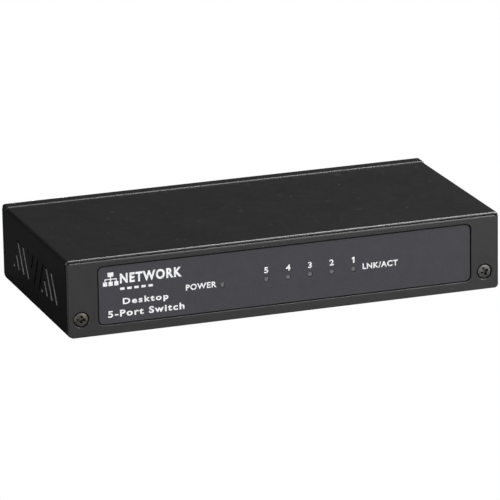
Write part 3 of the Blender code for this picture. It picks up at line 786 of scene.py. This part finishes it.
def panel(end):
    """The front or rear panel: its edges roll back softly, the front's top and the corners most."""
    rings = []
    for depth in roll_depths(PANEL_EDGE, NOSE_OUTER, PANEL_BEND):
        top_in = roll(depth, PANEL_BEND) if end < 0 else 0.0
        ring = panel_ring(roll(depth, PANEL_EDGE), roll(depth, NOSE_OUTER), top_in)
        rings.append((ring, end * (HALF_D - depth)))
    rings.append((panel_ring(0, 0, 0), end * (HALF_D - CHASSIS_T)))
    return loft(rings, "XZ")


def lip_ring(inset):
    """The section of the rear lip, drawn in at its top and ends."""
    half = HALF_W - LIP_END_GAP
    left = [(-half + inset, LIP_TOP - CHASSIS_T)]
    left += arc((-half + LIP_END_R, LIP_TOP - LIP_END_R), LIP_END_R - inset, 180, 90, steps=10)
    return both_sides(left, left)


def rear_lip():
    """The strip over the cover's rear edge, with a crisp front edge and a rolled rear one."""
    rings = [(lip_ring(inset), LIP_Y + depth) for inset, depth in LIP_CHAMFER]
    rings += [(lip_ring(roll(depth, LIP_ROLL)), HALF_D - depth)
              for depth in reversed(roll_depths(LIP_ROLL))]
    return loft(rings, "XZ")


def chassis_folds():
    """The bends that tie the panels, the lip and the floor together, and the floor's side walls."""
    neck_half = PANEL_SIDE - NECK_END_GAP
    neck = block((-neck_half, HALF_D - CHASSIS_T, PANEL_TOP - CHASSIS_T),
                 (neck_half, HALF_D - NECK_REAR_GAP, LIP_TOP - NECK_TOP_GAP))
    flange_half = PANEL_SIDE - FLANGE_END_GAP
    flange = block((-flange_half, -HALF_D + CHASSIS_T - FLANGE_OVERLAP, PANEL_TOP - CHASSIS_T),
                   (flange_half, -HALF_D + FLANGE_DEPTH, PANEL_TOP))
    folds = [neck, rear_lip(), flange]
    for side in (-1, 1):
        left, right = sorted((side * FLOOR_HALF_W, side * (FLOOR_HALF_W - CHASSIS_T)))
        folds.append(block((left, -FLOOR_WALL_HALF, FLOOR_Z + CHASSIS_T / 2),
                           (right, FLOOR_WALL_HALF, FLOOR_Z + FLOOR_WALL_HEIGHT)))
    return folds


def label_pocket():
    """The cutter for the label's pocket, which opens out at the panel's face in a soft rim."""
    curve = 0.3 * POCKET_RIM
    rings = []
    for wider, depth in ((POCKET_RIM, -PAST), (POCKET_RIM, 0), (curve, curve), (0, POCKET_RIM),
                         (0, POCKET_DEPTH)):
        size = (POCKET_SIZE[0] + 2 * wider, POCKET_SIZE[1] + 2 * wider)
        rings.append((round_box(POCKET_MIDDLE, size, LABEL_CORNER + wider), -HALF_D + depth))
    return loft(rings, "XZ")


def light_holes():
    """Round holes in line with the lights."""
    outside, inside = -HALF_D - PAST, -HALF_D + CHASSIS_T + PAST
    return merged([bore((middle_of(name).x, LIGHT_Z), LIGHT_HOLE_R, outside, inside) for name in LIGHTS])


def rear_openings():
    """The rear panel's holes, one round each socket."""
    holes = []
    for name in [f"jack_shell_{port}" for port in PORTS] + ["power_inlet_body"]:
        near, far = box_mm(name)
        holes.append(block((near.x - SOCKET_GAP, HALF_D - CHASSIS_T - PAST, near.z - SOCKET_GAP),
                           (far.x + SOCKET_GAP, HALF_D + PAST, far.z + SOCKET_GAP)))
    return merged(holes)


def screw_sinks(end):
    """Sunk holes with a soft rim for the two screws of one panel."""
    near, far = sorted((end * (HALF_D - CHASSIS_T - 2 * PAST), end * (HALF_D + PAST)))
    holes = []
    for side in (-1, 1):
        centre = (side * SCREW_X, SCREW_Z)
        rings = [(circle(centre, SINK_R + wider, SINK_SIDES), end * (HALF_D + out))
                 for wider, out in SINK_RIM]
        holes += [loft(rings, "XZ"), bore(centre, SCREW_HOLE_R, near, far)]
    return holes


def chassis_finish(face):
    """Painted shade, near black, in the label's pocket and the screws' sinks; gloss on the pocket's lower
    rim.
    """
    place = face.center / MM
    depth = HALF_D - abs(place.y)
    behind_front = HALF_D + place.y
    off_middle = (abs(place.x - POCKET_MIDDLE[0]), abs(place.z - POCKET_MIDDLE[1]))
    in_window = all(off < size / 2 + NEAR for off, size in zip(off_middle, POCKET_SIZE))
    # The pocket's walls and floor, and the sinks further down, get near-black painted shade.
    if in_window and POCKET_WALL_START < behind_front < POCKET_DEPTH + HAIR:
        return painted_recess_shade
    above_rim = place.z - (POCKET_MIDDLE[1] - POCKET_SIZE[1] / 2)
    if 0 < behind_front < POCKET_RIM and -2 * NEAR < above_rim < NEAR and face.normal.z > RIM_UP:
        return edge_paint
    from_screw = math.hypot(abs(place.x) - SCREW_X, place.z - SCREW_Z)
    in_sink = RIM_DEPTH < depth < SINK_DEPTH + NEAR and from_screw < SINK_R + HAIR
    return painted_recess_shade if in_sink else paint


def build_chassis():
    """The floor, both panels and the rear lip: one folded sheet."""
    floor_half_d = HALF_D - CHASSIS_T / 2
    mesh = block((-FLOOR_HALF_W, -floor_half_d, FLOOR_Z), (FLOOR_HALF_W, floor_half_d, FLOOR_Z + CHASSIS_T))
    mesh = joined(mesh, panel(-1), panel(1), *chassis_folds())
    mesh = cut(mesh, label_pocket(), light_holes(), rear_openings(), *screw_sinks(-1), *screw_sinks(1))
    piece("chassis_sheet", mesh, [paint, painted_recess_shade, edge_paint], ["chassis"], smooth=40)
    paint_faces(mesh, chassis_finish)


# ---------------------------------------------------------------- case screws
HEAD_R = 2.28
HEAD_HEIGHT = 0.5
HEAD_RIM = 0.32
HEAD_SIDES = 40
SHANK_R = 1.0
SHANK_LENGTH = 6.0
THREAD_START = 0.3
THREAD_PITCH = 0.5
THREAD_DEPTH = 0.14
SEAT_DEPTH = 0.55
SEAT_CHAMFER = 0.08

# Faces of the head count as walls of the recess, and get painted shade, within this radius, above this
# level and when their normal points along the axis by less than this share.
CROSS_R = 1.75
CROSS_LOW = 0.2
CROSS_STEEP = 0.55

# The recess as (reach, arm width, level): shares of the head's radius, and a height over its top.
CROSS_SECTIONS = ((0.4, 0.08, -1.0), (0.62, 0.2, -0.16), (0.7, 0.24, 0.3))


def cross_points(reach, width):
    """The outline of a cross recess, with short flats in its inner corners."""
    quarter = [(reach, -width * 0.8), (reach, width * 0.8), (width * 1.5, width), (width, width * 1.5)]
    points = []
    for turn in range(4):
        angle = turn * math.pi / 2
        points += [(x * math.cos(angle) - y * math.sin(angle), x * math.sin(angle) + y * math.cos(angle))
                   for x, y in quarter]
    return points


def screw_mesh():
    """A cross-head screw with its seat at z = 0: domed head, tapered recess and a threaded shank."""
    profile = [(0, HEAD_HEIGHT)]
    for angle in range(10, 91, 10):
        turn = math.radians(angle)
        profile.append((HEAD_R * math.sin(turn), HEAD_RIM + (HEAD_HEIGHT - HEAD_RIM) * math.cos(turn)))
    profile += [(HEAD_R, HEAD_RIM * 0.4), (HEAD_R - SEAT_CHAMFER, 0), (SHANK_R, 0)]
    height = -THREAD_START
    while height > -SHANK_LENGTH + THREAD_PITCH:
        profile += [(SHANK_R, height), (SHANK_R - THREAD_DEPTH, height - THREAD_PITCH / 2)]
        height -= THREAD_PITCH
    profile += [(SHANK_R * 0.7, -SHANK_LENGTH), (0, -SHANK_LENGTH)]
    rings = [(cross_points(HEAD_R * reach, HEAD_R * width), HEAD_HEIGHT + level)
             for reach, width, level in CROSS_SECTIONS]
    return cut(lathe(profile, HEAD_SIDES), loft(rings, "XY"))


def add_screw(name, node, shape, material, end, side, turn):
    """A screw in its sink, turned about its axis in degrees, with painted shade on the walls of its recess.
    """
    seat = Vector((side * SCREW_X, end * (HALF_D - SEAT_DEPTH), SCREW_Z))
    outward = Vector((0, end, 0))
    mesh = shape.copy()
    mesh.transform(Matrix.Rotation(math.radians(turn), 4, "Z"))
    mesh.transform(Matrix.Rotation(-end * math.pi / 2, 4, "X"))
    mesh.transform(Matrix.Translation(seat * MM))

    def screw_finish(face):
        offset = face.center / MM - seat
        along = offset.dot(outward)
        in_cross = CROSS_LOW < along and (offset - outward * along).length < CROSS_R
        # Walls of the cross recess get near-black painted shade.
        return painted_recess_shade if in_cross and face.normal.dot(outward) < CROSS_STEEP else material

    piece(name, mesh, [material, painted_recess_shade], [node], smooth=40)
    paint_faces(mesh, screw_finish)


def build_screws():
    """Four like screws; those on the right have a darker plating."""
    shape = screw_mesh()
    for end_name, end in (("front", -1), ("rear", 1)):
        for side_name, side, turn, material in (("left", -1, -6, steel), ("right", 1, 24, dark_steel)):
            add_screw(f"{end_name}_case_screw_{side_name}", f"{end_name}_screw_{side_name}", shape,
                      material, end, side, turn)


# ---------------------------------------------------------------- contacts in the sockets
WIRE_COUNT = 8
WIRE_PITCH = 1.02
WIRE_HALF = 0.2

# A wire from the side, as (y, z) from the upper rear edge of the insert: it slants down to the front.
WIRE_SIDE_VIEW = [(-0.5, -0.85), (-0.35, -1.05), (-7.6, -3.4), (-7.9, -3.35), (-7.85, -3.1), (-1.7, -0.85)]
CARRIER_HEIGHT = 0.9
CARRIER_ROUNDING = 0.12


def build_contacts():
    """A black carrier in the roof of each socket, with eight sprung gold contacts."""
    for port in PORTS:
        near, far = box_mm(f"jack_contacts_{port}")
        carrier = block((near.x, near.y, far.z - CARRIER_HEIGHT), far, CARRIER_ROUNDING)
        piece(f"contact_carrier_{port}", carrier, [moulding], [f"jack_contacts_{port}"])
        profile = [(far.y + y, far.z + z) for y, z in WIRE_SIDE_VIEW]
        wires = []
        for index in range(WIRE_COUNT):
            middle = (near.x + far.x) / 2 + (index - (WIRE_COUNT - 1) / 2) * WIRE_PITCH
            wires.append(prism(profile, "YZ", middle - WIRE_HALF, middle + WIRE_HALF))
        piece(f"contact_wires_{port}", merged(wires), [gold])


# ---------------------------------------------------------------- print
INK_T = 0.02
INK_GAP = 0.001
LABEL_Y = LABEL_LOW.y
REAR_PRINT_GAP = 1.2
SIGN_MIDDLE = (LABEL_LOW.x + 4.1, LABEL_LOW.z + 14.9)
SIGN_SIZE = (5.2, 4.5)
SIGN_CELL = 1.404
SIGN_TOP_CELL_HALF = 0.7 * SIGN_CELL
SIGN_LINE = 0.16
HEADING_X = 7.25
DASH_COUNT = 5
DASH_Z = (10.9, 11.7)
DASH_LENGTH = 1.5
DASH_PITCH = 2.4
DIGIT_LOW = LABEL_LOW.z + 10.75
DIGIT_HEIGHT = 2.05
DIGIT_WIDENING = 1.15

# The figure 1 as (x, z) from the middle of its foot.
ONE_OUTLINE = [(-0.15, 0), (0.4, 0), (0.4, 2.05), (-0.05, 2.05), (-0.5, 1.65), (-0.5, 1.2), (-0.15, 1.4)]


def lettering(text, bold, spacing):
    """A text in the built-in typeface, as a thin solid in the XZ plane that faces the front."""
    curve = bpy.data.curves.new("text", "FONT")
    curve.body = text
    curve.offset = bold
    curve.space_character = spacing
    curve.extrude = 0.01
    curve.resolution_u = 4
    holder = bpy.data.objects.new("text", curve)
    bpy.context.scene.collection.objects.link(holder)
    graph = bpy.context.evaluated_depsgraph_get()
    mesh = bpy.data.meshes.new_from_object(holder.evaluated_get(graph))
    bpy.data.objects.remove(holder)
    mesh.transform(Matrix.Rotation(math.pi / 2, 4, "X"))
    return mesh


def fitted(mesh, x_range, y_range, z_range):
    """A mesh stretched to fill a box."""
    for axis, (low_end, high_end) in enumerate((x_range, y_range, z_range)):
        values = [vert.co[axis] for vert in mesh.vertices]
        start, stop = min(values), max(values)
        for vert in mesh.vertices:
            share = (vert.co[axis] - start) / (stop - start)
            vert.co[axis] = (low_end + share * (high_end - low_end)) * MM
    return mesh


def around(middle, mesh, height, widening=1.0):
    """The range that a text of that height takes about a middle, at its own proportions."""
    xs, zs = ([vert.co[axis] for vert in mesh.vertices] for axis in (0, 2))
    half = widening * (max(xs) - min(xs)) / (max(zs) - min(zs)) * height / 2
    return middle - half, middle + half


def add_print(name, mesh):
    """A piece of white ink, with flat shading."""
    piece(name, mesh, [white_ink], smooth=0)


def label_text(name, text, x_range, z_range, bold, spacing):
    """A text in a window of the label, whose ranges count from the label's lower left corner."""
    mesh = lettering(text, bold, spacing)
    window = [LABEL_LOW.x + x for x in x_range], [LABEL_LOW.z + z for z in z_range]
    add_print(name, fitted(mesh, window[0], (LABEL_Y - INK_T, LABEL_Y - INK_GAP), window[1]))


def label_digit(port):
    """A port's number above its light; a 1 has an outline of its own, with a wider flag."""
    name = f"print_digit_{port}"
    middle = middle_of(f"led_port_{port}").x
    layer = (LABEL_Y - INK_T, LABEL_Y - INK_GAP)
    if port == 1:
        outline = [(middle + x, DIGIT_LOW + z) for x, z in ONE_OUTLINE]
        add_print(name, prism(outline, "XZ", *layer))
        return
    mesh = lettering(str(port), bold=0.022, spacing=1.0)
    x_range = around(middle, mesh, DIGIT_HEIGHT, DIGIT_WIDENING)
    add_print(name, fitted(mesh, x_range, layer, (DIGIT_LOW, DIGIT_LOW + DIGIT_HEIGHT)))


def rear_text(name, text, node, height):
    """Small print above a socket on the rear panel, which reads from behind."""
    near, far = box_mm(node)
    low_z = far.z + REAR_PRINT_GAP
    mesh = lettering(text, bold=0.02, spacing=1.1)
    mesh.transform(Matrix.Rotation(math.pi, 4, "Z"))
    layer = (HALF_D + INK_GAP, HALF_D + INK_T)
    x_range = around((near.x + far.x) / 2, mesh, height)
    add_print(name, fitted(mesh, x_range, layer, (low_z, low_z + height)))


def tile(x_range, z_range):
    """A rectangle of ink on the label."""
    return block((x_range[0], LABEL_Y - INK_T, z_range[0]), (x_range[1], LABEL_Y - INK_GAP, z_range[1]))


def hub_sign():
    """One box over three, joined by lines: the usual sign for a wired network."""
    x, z = SIGN_MIDDLE
    width, height = SIGN_SIZE
    cell, line = SIGN_CELL, SIGN_LINE
    top, bottom = z + height / 2, z - height / 2
    reach = (width - cell) / 2
    tiles = [tile((x - SIGN_TOP_CELL_HALF, x + SIGN_TOP_CELL_HALF), (top - cell, top)),
             tile((x - line, x + line), (z + line, top - cell)),
             tile((x - reach - line, x + reach + line), (z - line, z + line))]
    for middle in (x - reach, x, x + reach):
        tiles.append(tile((middle - cell / 2, middle + cell / 2), (bottom, bottom + cell)))
        tiles.append(tile((middle - line, middle + line), (bottom + cell, z - line)))
    return merged(tiles)


def dashes():
    """A short dashed rule under the heading."""
    starts = [LABEL_LOW.x + HEADING_X + DASH_PITCH * index for index in range(DASH_COUNT)]
    z_range = [LABEL_LOW.z + z for z in DASH_Z]
    return merged([tile((start, start + DASH_LENGTH), z_range) for start in starts])


def build_print():
    """Plain words, digits and a sign on the label, and small print above the rear sockets."""
    add_print("print_hub_sign", hub_sign())
    label_text("print_heading", "NETWORK", (HEADING_X, 28.25), (13.05, 16.45), bold=0.04, spacing=1.2)
    add_print("print_dashes", dashes())
    label_text("print_line_1", "Desktop", (8.05, 23.55), (5.35, 8.05), bold=0.032, spacing=1.28)
    label_text("print_line_2", "5-Port Switch", (2.95, 28.95), (1.95, 4.25), bold=0.03, spacing=1.2)
    label_text("print_power", "POWER", (29.55, 40.05), (8.05, 10.05), bold=0.026, spacing=1.12)
    label_text("print_link", "LNK/ACT", (90.75, 103.15), (8.15, 10.15), bold=0.026, spacing=1.12)
    for port in PORTS:
        label_digit(port)
        rear_text(f"print_rear_digit_{port}", str(port), f"jack_shell_{port}", height=1.8)
    rear_text("print_rear_power", "POWER", "power_inlet_body", height=1.5)


# ---------------------------------------------------------------- finishes of the CAD nodes
FINISHES = {"front_label": film, "under_label": paper, "foot": rubber, "main_board": laminate,
            "standoff": nickel, "board_screw": steel, "insulating_film": clear_film,
            "jack_shell": moulding, "power_inlet_body": moulding, "power_inlet_pin": nickel,
            "led_rail": moulding, "led": lens, "switch_chip": resin, "heat_sink": aluminium,
            "magnetics": resin, "memory_chip": resin, "crystal": nickel, "capacitor": sleeve,
            "power_inductor": ferrite, "regulator": resin, "rectifier_diode": resin, "fuse": nickel}


def finish_nodes():
    """Gives each CAD node the finish of the longest name that its own starts with, or paint."""
    for name, node in nodes.items():
        found = [key for key in FINISHES if name.startswith(key)]
        material = FINISHES[max(found, key=len)] if found else paint
        for spot in node.material_slots:
            spot.material = material


build_cover()
build_chassis()
build_screws()
build_contacts()
build_print()
finish_nodes()
add_camera()
add_world()
add_floor()
add_lights()

bpy.context.scene.view_settings.view_transform = "Standard"
